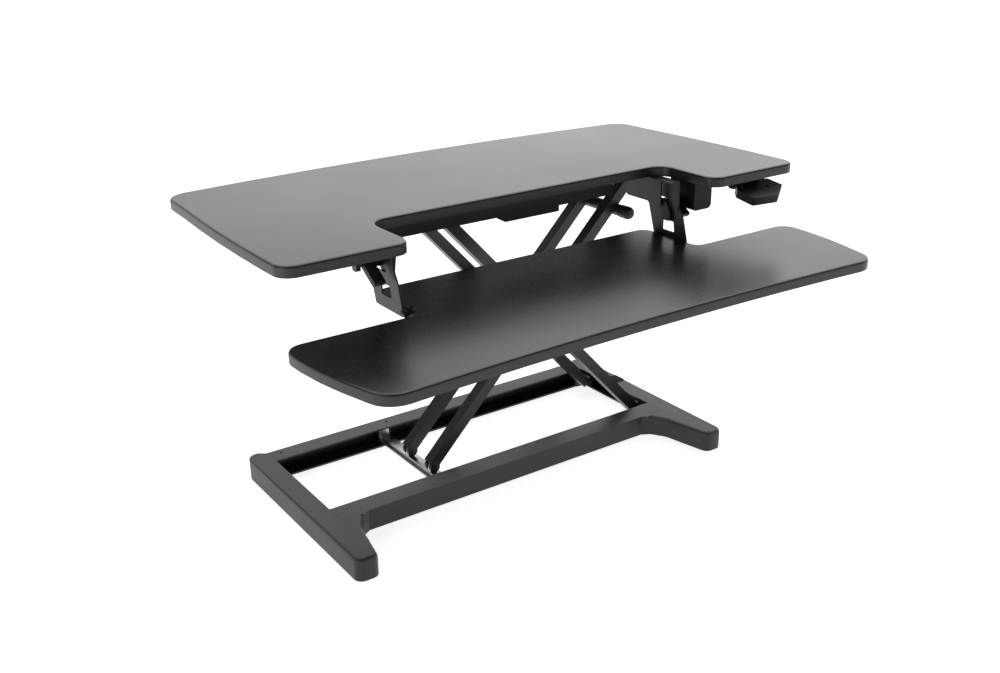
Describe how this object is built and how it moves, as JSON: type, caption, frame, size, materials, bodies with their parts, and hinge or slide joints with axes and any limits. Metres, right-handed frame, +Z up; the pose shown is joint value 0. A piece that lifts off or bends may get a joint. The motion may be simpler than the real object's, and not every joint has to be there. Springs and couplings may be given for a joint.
{
  "type": "standing desk converter",
  "caption": "Height-adjustable desktop riser: a wide desktop with a keyboard tray on a folding scissor frame over an open steel base, with a gas spring and a squeeze lever.",
  "frame": {"origin": "on the supporting surface, under the middle of the object's bounding box with the riser raised", "axes": "+X to the user's right along the desktop's width, +Y away from the user, +Z up"},
  "size_m": [0.89, 0.6351, 0.4946],
  "materials": {
    "board_laminate": "fine-textured black laminate with a satin sheen",
    "powder_coat": "fine-textured black powder coat on steel",
    "black_plastic": "moulded black plastic with a fine grain",
    "black_lacquer": "smooth semi-gloss black lacquer",
    "black_rubber": "matt black rubber",
    "bare_steel": "plain zinc-plated steel"
  },
  "bodies": {
    "base": {"base_side_left": "powder_coat", "base_side_right": "powder_coat", "base_rail_front": "powder_coat", "base_rail_rear": "powder_coat", "rubber_foot_front_left": "black_rubber", "rubber_foot_front_right": "black_rubber", "rubber_foot_rear_left": "black_rubber", "rubber_foot_rear_right": "black_rubber", "rest_pad": "black_rubber", "base_pivot_bracket_front": "powder_coat", "base_pivot_bracket_rear": "powder_coat", "base_pivot_pin_front": "powder_coat", "base_pivot_pin_rear": "powder_coat"},
    "outer_arm": {"arm_outer_front": "powder_coat", "arm_outer_rear": "powder_coat", "arm_outer_cross_tube": "powder_coat", "centre_axle": "bare_steel", "gas_stud": "bare_steel"},
    "inner_arm": {"arm_inner_front": "powder_coat", "arm_inner_rear": "powder_coat", "arm_inner_cross_tube": "powder_coat", "centre_spacer": "powder_coat", "bumper_bar": "powder_coat", "bumper_cap": "black_plastic", "gas_rest_plate": "powder_coat"},
    "top": {"desktop": "board_laminate", "keyboard_tray": "board_laminate", "top_rail_front": "powder_coat", "top_rail_rear": "powder_coat", "top_cross_bar_left": "powder_coat", "top_cross_bar_right": "powder_coat", "top_pivot_bracket_front": "powder_coat", "top_pivot_bracket_rear": "powder_coat", "top_pivot_axle": "bare_steel", "cable_guide": "powder_coat", "tray_hanger_left": "powder_coat", "tray_hanger_right": "powder_coat", "tray_side_plate_left": "powder_coat", "tray_side_plate_right": "powder_coat", "latch_pin_left": "powder_coat", "latch_pin_right": "powder_coat", "tray_lock_screw": "black_plastic", "lock_box": "black_plastic", "lever_housing": "powder_coat", "lever_pin": "bare_steel"},
    "lower_slider": {"lower_slider_bar": "bare_steel", "lower_slider_pin_front": "powder_coat", "lower_slider_pin_rear": "powder_coat"},
    "lower_front_wheel": {"lower_roller_front": "black_plastic"},
    "lower_rear_wheel": {"lower_roller_rear": "black_plastic"},
    "upper_slider": {"upper_slider_axle": "bare_steel", "upper_slider_sleeve": "powder_coat"},
    "upper_front_wheel": {"upper_roller_front": "black_plastic"},
    "upper_rear_wheel": {"upper_roller_rear": "black_plastic"},
    "gas_tube": {"gas_cylinder": "black_lacquer"},
    "gas_plunger": {"gas_rod": "bare_steel"},
    "lever": {"release_lever": "black_plastic"},
    "latch_left": {"tray_latch_left": "black_plastic"},
    "latch_right": {"tray_latch_right": "black_plastic"}
  },
  "joints": [
    {"name": "lift", "type": "hinge", "parent": "base", "child": "outer_arm", "pos_m": [0.3099, 0.16, 0.0245], "axis": [0, -1, 0], "range_deg": [0, 39]},
    {"name": "scissor_centre", "type": "hinge", "parent": "outer_arm", "child": "inner_arm", "pos_m": [0.10076, 0.16, 0.2445], "axis": [0, -1, 0], "range_deg": [-78, 0]},
    {"name": "top_tilt", "type": "hinge", "parent": "inner_arm", "child": "top", "pos_m": [0.3099, 0.146, 0.4645], "axis": [0, -1, 0], "range_deg": [0, 39]},
    {"name": "lower_slider_pivot", "type": "hinge", "parent": "inner_arm", "child": "lower_slider", "pos_m": [-0.10837, 0.146, 0.0245], "axis": [0, -1, 0], "range_deg": [0, 39]},
    {"name": "upper_slider_pivot", "type": "hinge", "parent": "outer_arm", "child": "upper_slider", "pos_m": [-0.10837, 0.16, 0.4645], "axis": [0, -1, 0], "range_deg": [-39, 0]},
    {"name": "lower_front_roll", "type": "hinge", "parent": "lower_slider", "child": "lower_front_wheel", "pos_m": [-0.10662, 0.04, 0.019], "axis": [0, 1, 0], "continuous": true},
    {"name": "lower_rear_roll", "type": "hinge", "parent": "lower_slider", "child": "lower_rear_wheel", "pos_m": [-0.10662, 0.28, 0.019], "axis": [0, 1, 0], "continuous": true},
    {"name": "upper_front_roll", "type": "hinge", "parent": "upper_slider", "child": "upper_front_wheel", "pos_m": [-0.10837, 0.037, 0.4645], "axis": [0, 1, 0], "continuous": true},
    {"name": "upper_rear_roll", "type": "hinge", "parent": "upper_slider", "child": "upper_rear_wheel", "pos_m": [-0.10837, 0.281, 0.4645], "axis": [0, 1, 0], "continuous": true},
    {"name": "gas_tube_pivot", "type": "hinge", "parent": "outer_arm", "child": "gas_tube", "pos_m": [0.22478, 0.2059, 0.11404], "axis": [0, -1, 0], "range_deg": [0, 9.73]},
    {"name": "gas_rod_slide", "type": "slide", "parent": "gas_tube", "child": "gas_plunger", "axis": [-0.4733, 0, 0.8809], "range_m": [-0.0574, 0]},
    {"name": "lever_squeeze", "type": "hinge", "parent": "top", "child": "lever", "pos_m": [0.367, -0.092, 0.4665], "axis": [-1, 0, 0], "range_deg": [0, 12], "stiffness_Nm_per_rad": 1.2, "springref_deg": -8.59},
    {"name": "latch_left_pull", "type": "hinge", "parent": "top", "child": "latch_left", "pos_m": [-0.265, -0.0255, 0.44], "axis": [-1, 0, 0], "range_deg": [0, 18], "stiffness_Nm_per_rad": 0.3, "springref_deg": -8.59},
    {"name": "latch_right_pull", "type": "hinge", "parent": "top", "child": "latch_right", "pos_m": [0.265, -0.0255, 0.44], "axis": [-1, 0, 0], "range_deg": [0, 18], "stiffness_Nm_per_rad": 0.3, "springref_deg": -8.59}
  ],
  "couplings": [
    {"joint": "scissor_centre", "follows": "lift", "ratio": -2},
    {"joint": "top_tilt", "follows": "lift", "ratio": 1},
    {"joint": "lower_slider_pivot", "follows": "lift", "ratio": 1},
    {"joint": "upper_slider_pivot", "follows": "lift", "ratio": -1},
    {"joint": "gas_tube_pivot", "follows": "lift", "ratio": 0.24933},
    {"joint": "gas_rod_slide", "follows": "lift", "m_per_rad": -0.08364}
  ]
}
